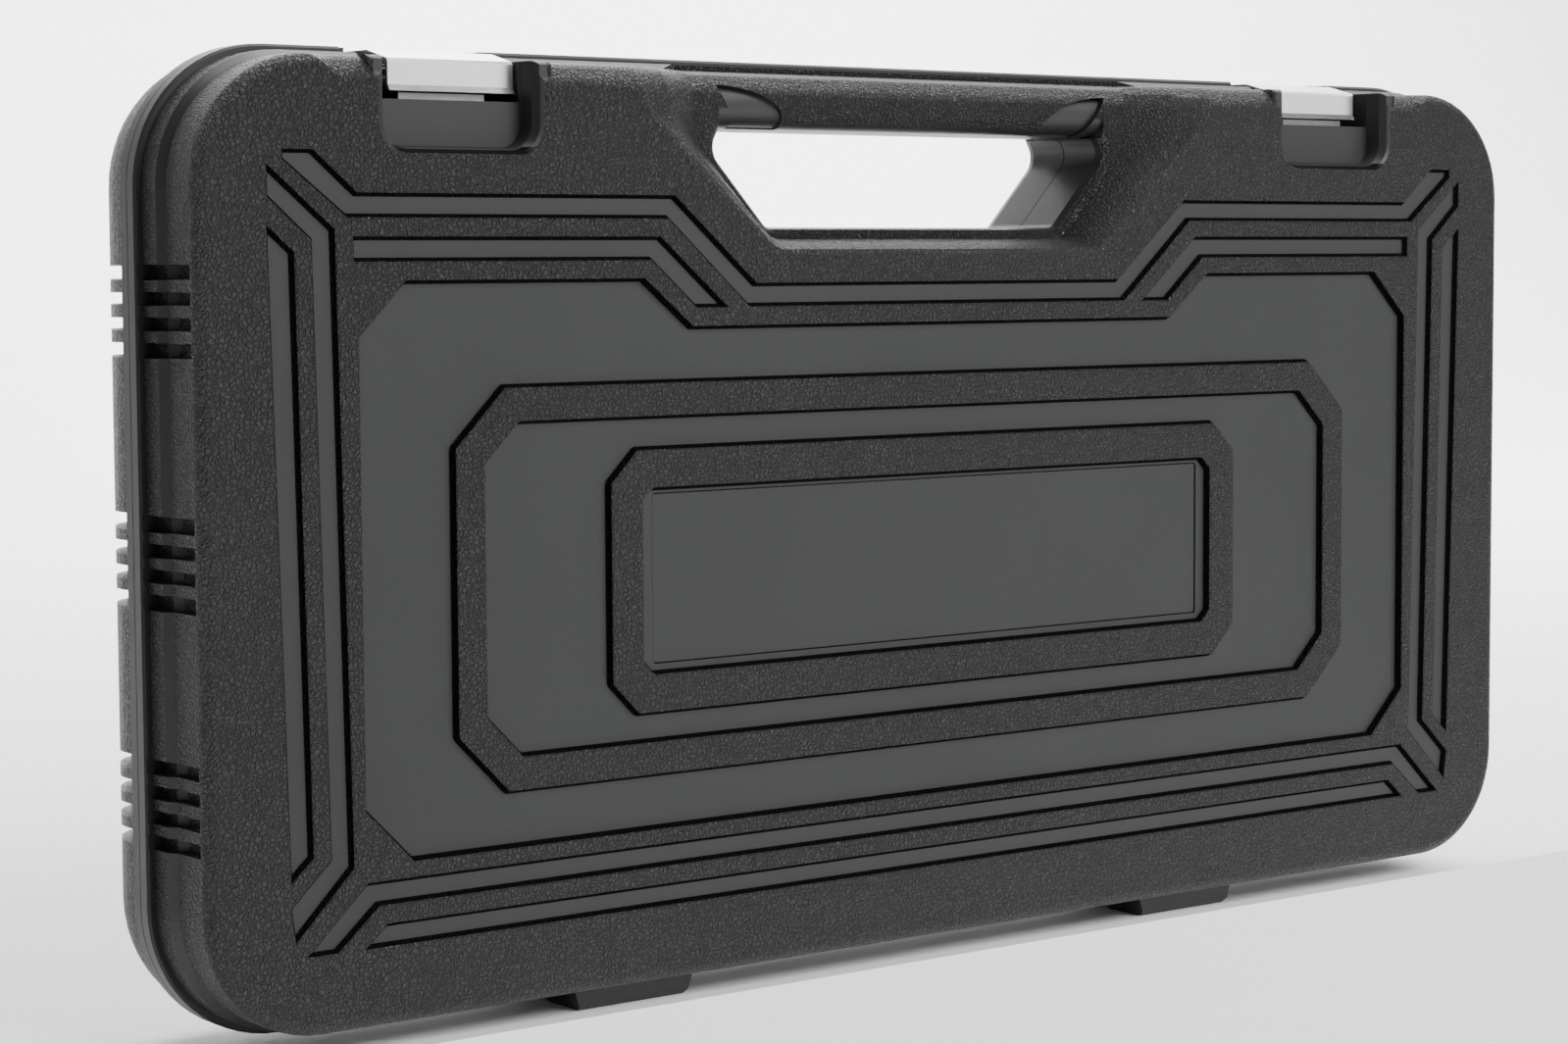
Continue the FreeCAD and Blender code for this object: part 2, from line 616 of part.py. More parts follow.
# ================================================================ case hardware
def latch(middle):
    """Bent steel latch: front leaf, top plate and a barrel around its pin."""
    t = LATCH_T
    top = LATCH_PIN_Z + LATCH_BARREL_R
    outer = [(LEAF_Y - 0.9, LEAF_LOW), (LEAF_Y, LEAF_LOW + 1.6), (LEAF_Y, LEAF_TOP - 0.8),
             (LEAF_Y + 0.8, LEAF_TOP), (-10.0, top), (LATCH_PIN_Y, top)]
    inner = [(LATCH_PIN_Y, top - t), (-10.0 + 0.15, top - t), (LEAF_Y + t, LEAF_TOP - t - 0.2),
             (LEAF_Y + t, LEAF_LOW + 1.4), (LEAF_Y + t - 0.9, LEAF_LOW)]
    x0 = middle - LATCH_W / 2
    points = [V(x0, y, z) for y, z in outer + inner]
    plate = Part.Face(Part.makePolygon(points + points[:1])).extrude(V(LATCH_W, 0, 0))
    a, b = V(x0, LATCH_PIN_Y, LATCH_PIN_Z), V(x0 + LATCH_W, LATCH_PIN_Y, LATCH_PIN_Z)
    flanges = [box(x, x + t, -9.0, LATCH_PIN_Y, LATCH_PIN_Z - 0.4, top - t / 2)
               for x in (x0, x0 + LATCH_W - t)]
    body = fuse([plate, rod(LATCH_BARREL_R, a, b)] + flanges)
    return body.cut(rod(LATCH_PIN_R + RUNNING, a - V(1, 0, 0), b + V(1, 0, 0)))


def latch_pins():
    reach = LATCH_W / 2 + 4.3
    return group(rod(LATCH_PIN_R, V(m - reach, LATCH_PIN_Y, LATCH_PIN_Z),
                     V(m + reach, LATCH_PIN_Y, LATCH_PIN_Z)) for m in (-LATCH_X, LATCH_X))


def latch_keeper(middle):
    """Angle plate riveted to the ledge, with the lip that the latch leaf meets."""
    base = box(middle - 13.5, middle + 13.5, -18.8, -10.0, LEDGE_Z, LEDGE_Z + 0.8)
    lip = box(middle - 13.5, middle + 13.5, -18.8, -17.8, LEDGE_Z, KEEPER_TOP)
    keeper = base.fuse(lip)
    return cut(keeper, [rod(1.25, V(middle + x, -16.0, LEDGE_Z - 1), V(middle + x, -16.0, LEDGE_Z + 2))
                        for x in (-9.0, 9.0)])


def keeper_rivets():
    rivets = []
    for middle in (-SCOOP_X, SCOOP_X):
        for x in (-9.0, 9.0):
            shank = rod(1.25, V(middle + x, -16.0, LEDGE_Z - WALL), V(middle + x, -16.0, LEDGE_Z + 0.8))
            head = Part.makeCone(1.7, 1.0, 0.7, V(middle + x, -16.0, LEDGE_Z + 0.8))
            rivets.append(shank.fuse(head))
    return group(rivets)


def hinge_pins():
    return group(along_axis(HINGE_PIN_R, m - KNUCKLE_END, m + KNUCKLE_END)
                 for m in (-HINGE_X, HINGE_X))


# ================================================================ hollows of the trays
def trough(p0, p1, radius, deck_y, extra):
    """A round-bottomed pocket for a bar between two points, open towards the joint line."""
    along = (p1 - p0).normalize()
    start, end = p0 - along * (PLAY + extra), p1 + along * (PLAY + extra)
    r = radius + PLAY + extra
    side = along.cross(Y_AXIS).normalize() * r
    up = V(0, deck_y - 1.0 - p0.y, 0)
    corners = [start + side, start - side, start - side + up, start + side + up]
    slab = Part.Face(Part.makePolygon(corners + corners[:1])).extrude(end - start)
    return rod(r, start, end).fuse(slab)


def bay(x0, x1, z0, z1, floor_y, deck_y, extra, radius=6.0):
    """A plain pocket with rounded corners, from the deck down to floor_y."""
    away = 1.0 if floor_y > deck_y else -1.0
    corners = grown(rectangle((x1 - x0) / 2, z0, z1, radius, (x0 + x1) / 2), extra)
    return prism(corners, deck_y - away, floor_y + away * extra)


def socket_places():
    """Size, radius and centre of each socket in the row, from left to right."""
    total = sum(d for _, d in SOCKETS) + SOCKET_GAP * (len(SOCKETS) - 1)
    x = -total / 2
    places = []
    for size, diameter in SOCKETS:
        radius = diameter / 2
        places.append((size, radius, x + radius, min(8.0, 24.0 - radius)))
        x += diameter + SOCKET_GAP
    return places


def base_hollows(extra):
    deck = BASE_DECK_Y
    shapes = []
    for _, radius, x, y in socket_places():
        shapes.append(trough(V(x, y, SOCKET_Z), V(x, y, SOCKET_Z + SOCKET_L), radius, deck, extra))
    shapes.append(bay(-222, 226, SOCKET_Z + 11, SOCKET_Z + 27, 13.0, deck, extra))
    for _, diameter, x in SPARK_SOCKETS:
        shapes.append(trough(V(x, 9.0, SPARK_Z), V(x + SPARK_L - 10, 9.0, SPARK_Z),
                             diameter / 2, deck, extra))
    for length, x, z in EXTENSIONS:
        y = EXTENSION_Y
        shapes.append(trough(V(x, y, z), V(x + length, y, z), EXTENSION_R, deck, extra))
        shapes.append(trough(V(x, y, z), V(x + 32, y, z), EXTENSION_HEAD_R, deck, extra))
        shapes.append(trough(V(x + length - 24, y, z), V(x + length, y, z), 9.2, deck, extra))
        shapes.append(bay(x + length * 0.5 - 20, x + length * 0.5 + 20, z - 15, z + 15,
                          15.0, deck, extra))
    shapes.append(bay(BAR_X - BAR_L / 2 - 0.6, BAR_X + BAR_L / 2 + 0.6, BAR_Z - 14.5,
                      BAR_Z + 14.5, 24.3, deck, extra))
    shapes += ratchet_hollows(extra)
    return shapes


def ratchet_hollows(extra):
    deck = BASE_DECK_Y
    x, z = RATCHET_X, RATCHET_Z
    head = prism(grown(ratchet_head_corners(), 1.5 + extra), deck - 1, 10.5 + extra)
    well = rod(12.5 + extra, V(x, deck, z), V(x, 24.6 + min(extra, 1.2), z))
    grip_start = x + RATCHET_L - GRIP_L - RATCHET_R
    grip = trough(V(grip_start, 0, z), V(grip_start + GRIP_L, 0, z), GRIP_R, deck, extra)
    shank = bay(x, grip_start + 4, z - 11, z + 11, 9.5, deck, extra, 4.0)
    thumb = bay(grip_start + 30, grip_start + 75, z - 24, z + 24, 11.0, deck, extra, 8.0)
    return [head, well, grip, shank, thumb]


def tray_plate(deck_y, away):
    """The tray's deck, trimmed around the handle opening, latches and hinge."""
    inset = RIM_TO_BODY + SIDE_WALL + TRAY_GAP
    y0, y1 = sorted((deck_y, deck_y + away * DECK_T))
    plate = prism(rim_corners(inset), y0, y1)
    hole = prism(hole_corners(WALL + 1.5 + TRAY_GAP), y0 - 1, y1 + 1)
    return plate.cut(hole)


def pad_spaces(side):
    """Room in a tray for the wall pads behind the side ribs."""
    y0, y1 = sorted((0.0, side * 30.0))
    near = RIM_HALF_W - RIM_TO_BODY - STEP_IN - RIB_NOTCH - WALL - TRAY_GAP
    gap = WALL + TRAY_GAP
    return [space for low, top in RIB_ZONES
            for space in both_sides(box(near, RIM_HALF_W, y0, y1, low - gap, top + gap))]


def base_tray():
    deck = tray_plate(BASE_DECK_Y, 1)
    below = box(-300, 300, BASE_DECK_Y, 60, -10, 300)
    cups = fuse(base_hollows(POCKET_WALL)).common(below)
    tray = deck.fuse(cups)
    notches = [box(m - 27, m + 27, 0, 30, REST_FLOOR_Z - WALL - TRAY_GAP, 300)
               for m in (-LATCH_X, LATCH_X)]
    return cut(tray, [fuse(base_hollows(0.0))] + notches + pad_spaces(1))


# ================================================================ wrenches in the lid
def wrench_places():
    """Size, length, left end and height of each wrench, in two columns."""
    places = []
    z = 32.0
    for index, (size, length) in enumerate(WRENCHES):
        column = index % 2
        if column == 0 and index:
            z += 44.0
        x0 = -232.0 if column == 0 else 232.0 - length
        places.append((size, length, x0, z))
    return places


def wrench_outline(size, length, x0, z):
    """Radii and centres of the open end, shank and ring end."""
    open_r = size * 1.08
    ring_r = size * 0.78
    shank_h = size * 0.34 + 2.2
    return open_r, ring_r, shank_h, x0 + open_r, x0 + length - ring_r


def wrench(size, length, x0, z, thickness):
    """Combination wrench lying flat: open jaw at the left, ring at the right."""
    open_r, ring_r, shank_h, xo, xr = wrench_outline(size, length, x0, z)
    y_back, y_front = -24.2, -24.2 + thickness
    web_back, web_front = y_back + 0.8, y_front - 0.8
    head = rod(open_r, V(xo, y_back, z), V(xo, y_front, z))
    ring = rod(ring_r, V(xr, y_back, z), V(xr, y_front, z))
    shank = prism([(xo, z - shank_h * 1.25, 0), (xr, z - shank_h, 0), (xr, z + shank_h, 0),
                   (xo, z + shank_h * 1.25, 0)], web_back, web_front)
    body = fuse([head, ring, shank])
    jaw = box(-open_r * 2, size * 0.2, y_back - 1, y_front + 1, -size / 2, size / 2)
    jaw.rotate(V(0, 0, 0), Y_AXIS, -15)
    jaw.translate(V(xo, 0, z))
    hexagon = hex_prism(size, V(xr, y_back - 1, z), V(0, thickness + 2, 0))
    fluted = prism([(xo + open_r * 1.25, z - shank_h * 0.5, 0.8),
                    (xr - ring_r * 1.6, z - shank_h * 0.42, 0.8),
                    (xr - ring_r * 1.6, z + shank_h * 0.42, 0.8),
                    (xo + open_r * 1.25, z + shank_h * 0.5, 0.8)], web_front - 0.5, web_front + 1)
    return cut(body, [jaw, hexagon, fluted])


def lid_hollows(extra):
    deck = LID_DECK_Y
    floor = -24.5
    shapes = []
    for size, length, x0, z in wrench_places():
        open_r, ring_r, shank_h, xo, xr = wrench_outline(size, length, x0, z)
        pad = PLAY + extra
        top, bottom = deck + 1, floor - extra
        shapes.append(rod(open_r + pad, V(xo, top, z), V(xo, bottom, z)))
        shapes.append(rod(ring_r + pad, V(xr, top, z), V(xr, bottom, z)))
        shapes.append(box(xo, xr, bottom, top, z - shank_h * 1.25 - pad, z + shank_h * 1.25 + pad))
        middle = (xo + xr) / 2
        shapes.append(bay(middle - 14, middle + 14, z - 15, z + 15, -22.0, deck, extra))
    return shapes


def lid_tray():
    deck = tray_plate(LID_DECK_Y, -1)
    below = box(-300, 300, -60, LID_DECK_Y, -10, 300)
    cups = fuse(lid_hollows(POCKET_WALL)).common(below)
    tray = deck.fuse(cups)
    notches = [box(m - 29.5, m + 29.5, -30, 0, SCOOP_LOW - WALL - TRAY_GAP, 300)
               for m in (-SCOOP_X, SCOOP_X)]
    handle = prism(dish_crest(2.0), -30, 0)
    return cut(tray, [fuse(lid_hollows(0.0)), handle] + notches + pad_spaces(-1))


# ================================================================ tool shapes
def hex_prism(across_flats, start, direction):
    radius = across_flats / math.sqrt(3)
    side = direction.cross(X_AXIS if abs(direction.x) < 0.5 * direction.Length else Z_AXIS)
    side.normalize()
    turn = direction.cross(side).normalize()
    points = [start + side * (radius * math.cos(a)) + turn * (radius * math.sin(a))
              for a in (math.radians(60 * k) for k in range(6))]
    return Part.Face(Part.makePolygon(points + points[:1])).extrude(direction)


def square_bar(width, start, direction, turn_deg=0.0):
    """A square bar along a direction, with its flats turned about it."""
    side = direction.cross(X_AXIS if abs(direction.x) < 0.5 * direction.Length else Z_AXIS)
    side.normalize()
    other = direction.cross(side).normalize()
    reach = width / math.sqrt(2)
    points = [start + side * (reach * math.cos(a)) + other * (reach * math.sin(a))
              for a in (math.radians(45 + turn_deg + 90 * k) for k in range(4))]
    return Part.Face(Part.makePolygon(points + points[:1])).extrude(direction)


def turned(profile, start, direction):
    """Turn a profile of (distance along, radius) about the line from start."""
    along = V(direction).normalize()
    side = along.cross(X_AXIS if abs(along.x) < 0.5 else Z_AXIS).normalize()
    points = [start + along * d + side * r for d, r in profile]
    points = [start + along * profile[0][0]] + points + [start + along * profile[-1][0]]
    face = Part.Face(Part.makePolygon(points + points[:1]))
    return face.revolve(start, along, 360)


def socket(size, radius, x, y):
    """Socket on its side, with the nut end down and the drive end up."""
    length, c = SOCKET_L, 1.2
    drive_r = min(radius, 11.0 if size < 20 else radius - 1.5)
    nut_r = min(radius, size * 0.66 + 2.6)
    waist = 17.0
    profile = [(0, nut_r - 0.8), (0.8, nut_r), (waist - 2, nut_r), (waist, drive_r),
               (length - 12, drive_r), (length - 11.4, drive_r - 0.5),
               (length - 8.6, drive_r - 0.5), (length - 8, drive_r),
               (length - c, drive_r), (length, drive_r - c)]
    start = V(x, y, SOCKET_Z)
    body = turned(profile, start, Z_AXIS)
    nut = hex_prism(size + 0.15, start - V(0, 0, 1), V(0, 0, 15.0))
    lead = Part.makeCone(size * 0.62, size * 0.5, 2.0, start, Z_AXIS)
    drive = square_bar(SQUARE + 0.15, start + V(0, 0, length - 15.5), V(0, 0, 17))
    through = rod(min(size * 0.45, 7.0), start, start + V(0, 0, length))
    return cut(body, [nut, lead, drive, through])


def spark_socket(size, diameter, x):
    radius = diameter / 2
    start = V(x, 9.0, SPARK_Z)
    length = SPARK_L - 10
    profile = [(0, radius - 0.8), (0.8, radius), (length - 18, radius),
               (length - 15, min(radius, 11.5)), (length - 1, min(radius, 11.5)),
               (length, min(radius, 11.5) - 1)]
    body = turned(profile, start, X_AXIS)
    nut = hex_prism(size + 0.15, start - V(1, 0, 0), V(14, 0, 0))
    well = rod(size * 0.5, start, start + V(length - 17, 0, 0))
    drive = square_bar(SQUARE + 0.15, start + V(length - 15, 0, 0), V(17, 0, 0))
    return cut(body, [nut, well, drive, rod(4.5, start, start + V(length, 0, 0))])


def spark_insert(size, x):
    """Rubber sleeve that holds the plug, pressed into the socket's well."""
    start = V(x + 18.0, 9.0, SPARK_Z)
    sleeve = rod(size * 0.5 - 0.05, start, start + V(16, 0, 0))
    return sleeve.cut(rod(size * 0.5 - 3.0, start - V(1, 0, 0), start + V(18, 0, 0)))


def extension(length, x, z):
    y = EXTENSION_Y
    start = V(x, y, z)
    r = EXTENSION_R
    profile = [(0, 10.0), (1, EXTENSION_HEAD_R), (24, EXTENSION_HEAD_R), (30, r),
               (length - 24, r), (length - 21, 8.6), (length - 17, 8.6)]
    body = turned(profile, start, X_AXIS)
    tip = square_bar(SQUARE, start + V(length - 17, 0, 0), V(17, 0, 0))
    drive = square_bar(SQUARE + 0.15, start - V(1, 0, 0), V(17, 0, 0))
    ball_hole = rod(2.0, V(x + length - 8, y - 7, z), V(x + length - 8, y - 2.5, z))
    return cut(body.fuse(tip), [drive, ball_hole])


def detent_ball(x, y, z):
    """Ball held in a square's flat, seen as a low dome."""
    return Part.makeSphere(1.95, V(x, y, z))


def extension_balls():
    return group(detent_ball(x + length - 8, EXTENSION_Y - SQUARE / 2 + 1.0, z)
                 for length, x, z in EXTENSIONS)


def bar_rod():
    """Rod of the sliding T-handle, with a swaged stop ring near each end."""
    half, r = BAR_L / 2, BAR_R
    profile = [(0, r - 1), (1, r), (5, r), (6, r + 0.9), (8, r + 0.9), (9, r),
               (BAR_L - 9, r), (BAR_L - 8, r + 0.9), (BAR_L - 6, r + 0.9), (BAR_L - 5, r),
               (BAR_L - 1, r), (BAR_L, r - 1)]
    return turned(profile, V(BAR_X - half, BAR_Y, BAR_Z), X_AXIS)


def bar_head():
    """Sliding head: a drum across the rod, with its drive square standing out."""
    x, y, z = BAR_X, BAR_Y, BAR_Z
    half = BAR_HEAD_W / 2
    drum = turned([(0, BAR_HEAD_R - 1), (1, BAR_HEAD_R), (BAR_HEAD_W - 5, BAR_HEAD_R),
                   (BAR_HEAD_W - 2, 9.0)], V(x, y + half - 1.0, z), V(0, -1, 0))
    tip = square_bar(SQUARE, V(x, y - half + 3.2, z), V(0, -9.2, 0))
    bore = rod(BAR_R + RUNNING, V(x - 20, y, z), V(x + 20, y, z))
    ball_hole = rod(2.0, V(x + 7, y - half - 1.8, z), V(x + 3, y - half - 1.8, z))
    return cut(drum.fuse(tip), [bore, ball_hole])


def bar_ball():
    return detent_ball(BAR_X + SQUARE / 2 - 1.0, BAR_Y - BAR_HEAD_W / 2 - 1.8, BAR_Z)


# ================================================================ ratchet
def ratchet_head_corners():
    """Pear-shaped outline of the head, narrowing to the shank."""
    x, z, r = RATCHET_X, RATCHET_Z, RATCHET_R
    return [(x - r, z - r, r - 0.5), (x + 16, z - r, 14.0), (x + 40, z - 9, 20.0),
            (x + 56, z - 7.5, 1.0), (x + 56, z + 7.5, 1.0), (x + 40, z + 9, 20.0),
            (x + 16, z + r, 14.0), (x - r, z + r, r - 0.5)]


def cover_corners():
    x, z, r = RATCHET_X, RATCHET_Z, RATCHET_R - 2.2
    return [(x - r, z - r, r - 0.5), (x + 14, z - r, 12.0), (x + 31, z - 9, 6.0),
            (x + 31, z + 9, 6.0), (x + 14, z + r, 12.0), (x - r, z + r, r - 0.5)]


SCREW_SPOTS = [(-11.6, 11.6), (-11.6, -11.6), (27.2, 5.9), (27.2, -5.9)]


def ratchet_body():
    """Forged head and shank, with a pocket for the gear and pawl."""
    x, z, half = RATCHET_X, RATCHET_Z, RATCHET_HALF_T
    head = prism(ratchet_head_corners(), -half, half)
    end = x + RATCHET_L - RATCHET_R - 8
    profile = [(0, 7.0), (20, 7.2), (60, 6.6), (end - x - 50, 6.6)]
    shank = turned(profile, V(x + 50, 0, z), X_AXIS)
    pocket = prism(grown(cover_corners(), 0.1), -half - 1, -half + 2.0)
    gear = rod(GEAR_R + 0.4, V(x, -half, z), V(x, 5.2, z))
    pawl = box(x + 8, x + PIVOT_DX + 5.5, -half, 5.2, z - 8.2, z + 8.2)
    bore = rod(10.0 + RUNNING, V(x, 0, z), V(x, half + 1, z))
    pivot = rod(2.5 + RUNNING, V(x + PIVOT_DX, 0, z), V(x + PIVOT_DX, 7.3, z))
    holes = [rod(1.0, V(x + dx, -half, z + dz), V(x + dx, 0.0, z + dz)) for dx, dz in SCREW_SPOTS]
    return cut(head.fuse(shank), [pocket, gear, pawl, bore, pivot] + holes)


def ratchet_cover():
    x, z, half = RATCHET_X, RATCHET_Z, RATCHET_HALF_T
    plate = prism(cover_corners(), -half, -half + 1.9)
    holes = [rod(8.0 + RUNNING, V(x, -half - 1, z), V(x, 0, z)),
             rod(4.0 + RUNNING, V(x + PIVOT_DX, -half - 1, z), V(x + PIVOT_DX, 0, z))]
    for dx, dz in SCREW_SPOTS:
        holes.append(rod(1.1, V(x + dx, -half - 1, z + dz), V(x + dx, 0, z + dz)))
        holes.append(Part.makeCone(2.1, 1.0, 1.1, V(x + dx, -half - 0.01, z + dz), Y_AXIS))
    return cut(plate, holes)


def cover_screws():
    x, z, half = RATCHET_X, RATCHET_Z, RATCHET_HALF_T
    screws = []
    for dx, dz in SCREW_SPOTS:
        shank = rod(0.85, V(x + dx, -half + 0.05, z + dz), V(x + dx, -0.6, z + dz))
        head = Part.makeCone(1.9, 0.85, 1.0, V(x + dx, -half + 0.05, z + dz), Y_AXIS)
        slot = box(x + dx - 2, x + dx + 2, -half - 0.1, -half + 0.45, z + dz - 0.25, z + dz + 0.25)
        screws.append(shank.fuse(head).cut(slot))
    return group(screws)


def ratchet_drive():
    """Toothed wheel on its two journals, with the drive square below."""
    x, z, half = RATCHET_X, RATCHET_Z, RATCHET_HALF_T
    points = []
    for k in range(GEAR_TEETH):
        for part, radius in ((0.0, GEAR_R), (0.3, GEAR_R), (0.5, GEAR_R - 1.0), (0.8, GEAR_R - 1.0)):
            a = 2 * math.pi * (k + part) / GEAR_TEETH
            points.append(V(x + radius * math.cos(a), -6.6, z + radius * math.sin(a)))
    wheel = Part.Face(Part.makePolygon(points + points[:1])).extrude(V(0, 11.4, 0))
    upper = rod(8.0, V(x, -half - 0.3, z), V(x, 0, z))
    lower = rod(10.0, V(x, 0, z), V(x, half + 0.2, z))
    tip = square_bar(SQUARE, V(x, half, z), V(0, 15.0, 0))
    well = rod(3.5 + RUNNING, V(x, -half - 2, z), V(x, 1.0, z))
    stem = rod(1.5 + RUNNING, V(x, 0, z), V(x, 18.0, z))
    ball_hole = rod(2.0, V(x + 8, 18.0, z), V(x + 2.5, 18.0, z))
    return cut(fuse([wheel, upper, lower, tip]), [well, stem, ball_hole])


def release_button():
    """Push button in the gear's centre, with the stem that frees the ball."""
    x, z, half = RATCHET_X, RATCHET_Z, RATCHET_HALF_T
    head = turned([(0, 2.6), (0.6, 3.5), (7.0, 3.5)], V(x, -half - 2.3, z), Y_AXIS)
    stem = rod(1.5, V(x, -half, z), V(x, 15.5, z))
    return head.fuse(stem)


def ratchet_ball():
    return detent_ball(RATCHET_X + SQUARE / 2 - 1.0, 18.0, RATCHET_Z)


def reversing_lever():
    """Thumb lever on the cover; its stem turns the pawl."""
    x, z, half = RATCHET_X + PIVOT_DX, RATCHET_Z, RATCHET_HALF_T
    disc = rod(5.2, V(x, -half - 2.6, z), V(x, -half - 0.3, z))
    paddle = prism([(x, z - 3.2, 0), (x + 15, z - 2.0, 1.5), (x + 15, z + 2.0, 1.5),
                    (x, z + 3.2, 0)], -half - 3.4, -half - 0.9)
    collar = rod(4.0, V(x, -half - 1, z), V(x, -6.6, z))
    stem = rod(2.5, V(x, -7, z), V(x, 7.0, z))
    key = box(x - 3.2, x + 3.2, -6.6, -4.6, z - 1.2, z + 1.2)
    return fuse([disc, paddle, collar, stem, key])


def ratchet_pawl():
    """Rocking pawl keyed to the lever's stem, with a toothed face at each end."""
    x, z = RATCHET_X + PIVOT_DX, RATCHET_Z
    block = prism([(x - 7.5, z - 6.8, 0.8), (x + 3.8, z - 4.6, 2.0), (x + 3.8, z + 4.6, 2.0),
                   (x - 7.5, z + 6.8, 0.8)], -6.4, 4.8)
    space = rod(GEAR_R + 1.5, V(RATCHET_X, -8, z), V(RATCHET_X, 6, z))
    stem = rod(2.52, V(x, -8, z), V(x, 8, z))
    key = box(x - 3.25, x + 3.25, -7.0, -4.6, z - 1.25, z + 1.25)
    return cut(block, [space, stem, key])


def ratchet_grip():
    """Moulded two-bulge grip over the end of the shank."""
    start = RATCHET_X + RATCHET_L - GRIP_L - RATCHET_R
    r = GRIP_R
    profile = [(0, 9.0), (2, 10.6), (10, 11.6), (20, 10.9), (30, 10.6), (45, 12.2),
               (62, r - 0.4), (78, r), (94, r - 0.6), (104, 12.2), (109, 10.5), (GRIP_L, 8.0)]
    moulding = turned(profile, V(start, 0, RATCHET_Z), X_AXIS)
    flutes = []
    for k in range(6):
        a = math.radians(60 * k + 30)
        out = V(0, math.cos(a), math.sin(a)) * (r + 2.6)
        flutes.append(rod(4.0, V(start + 40, 0, RATCHET_Z) + out, V(start + 98, 0, RATCHET_Z) + out))
    shank = rod(6.68, V(start - 1, 0, RATCHET_Z), V(start + GRIP_L - 8, 0, RATCHET_Z))
    return cut(moulding, flutes + [shank])


# ================================================================ all parts
def parts():
    yield "base_shell", base_shell()
    yield "lid_shell", lid_shell()
    yield "base_tray", base_tray()
    yield "lid_tray", lid_tray()
    yield "hinge_pins", hinge_pins()
    yield "latch_left", latch(-LATCH_X)
    yield "latch_right", latch(LATCH_X)
    yield "latch_pins", latch_pins()
    yield "latch_keepers", group(latch_keeper(m) for m in (-SCOOP_X, SCOOP_X))
    yield "keeper_rivets", keeper_rivets()
    yield "ratchet_body", ratchet_body()
    yield "ratchet_cover", ratchet_cover()
    yield "cover_screws", cover_screws()
    yield "ratchet_drive", ratchet_drive()
    yield "ratchet_ball", ratchet_ball()
    yield "release_button", release_button()
    yield "reversing_lever", reversing_lever()
    yield "ratchet_pawl", ratchet_pawl()
    yield "ratchet_grip", ratchet_grip()
    yield "t_bar_rod", bar_rod()
    yield "t_bar_head", bar_head()
    yield "t_bar_ball", bar_ball()
    for length, x, z in EXTENSIONS:
        yield "extension_%d" % length, extension(length, x, z)
    yield "extension_balls", extension_balls()
    for size, radius, x, y in socket_places():
        yield "socket_%d" % size, socket(size, radius, x, y)
    for size, diameter, x in SPARK_SOCKETS:
        yield "spark_socket_%d" % size, spark_socket(size, diameter, x)
        yield "spark_insert_%d" % size, spark_insert(size, x)
    for size, length, x0, z in wrench_places():
        yield "wrench_%d" % size, wrench(size, length, x0, z, size * 0.22 + 3.2)


def main():
    os.makedirs("parts", exist_ok=True)
    for name, shape in parts():
        if not shape.isValid():
            print("not valid:", name)
        count = len(shape.Solids)
        print("%-18s solids %d  volume %9.0f mm3  faces %d" % (name, count, shape.Volume,
                                                            len(shape.Faces)))
        shape.exportStep("parts/%s.step" % name)


main()
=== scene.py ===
"""Looks of the socket set in its case: black grained plastic, bright latches, chromed tools."""
import bpy
import math
from mathutils import Matrix, Vector


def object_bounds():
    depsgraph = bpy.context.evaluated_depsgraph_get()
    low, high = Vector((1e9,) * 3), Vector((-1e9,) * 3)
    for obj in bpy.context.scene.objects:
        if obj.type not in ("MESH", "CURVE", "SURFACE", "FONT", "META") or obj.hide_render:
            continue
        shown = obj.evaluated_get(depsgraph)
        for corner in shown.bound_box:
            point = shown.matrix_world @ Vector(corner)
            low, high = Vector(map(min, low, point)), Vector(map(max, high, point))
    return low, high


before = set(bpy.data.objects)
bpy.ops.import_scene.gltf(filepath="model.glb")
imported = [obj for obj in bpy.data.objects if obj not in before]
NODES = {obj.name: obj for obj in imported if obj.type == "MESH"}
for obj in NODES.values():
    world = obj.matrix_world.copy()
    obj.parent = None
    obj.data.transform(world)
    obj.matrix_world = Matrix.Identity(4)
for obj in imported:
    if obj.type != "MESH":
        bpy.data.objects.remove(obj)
CAD_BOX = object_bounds()

MM = 0.001
FACE_Y = CAD_BOX[1].y              # distance of each half's face from the joint line


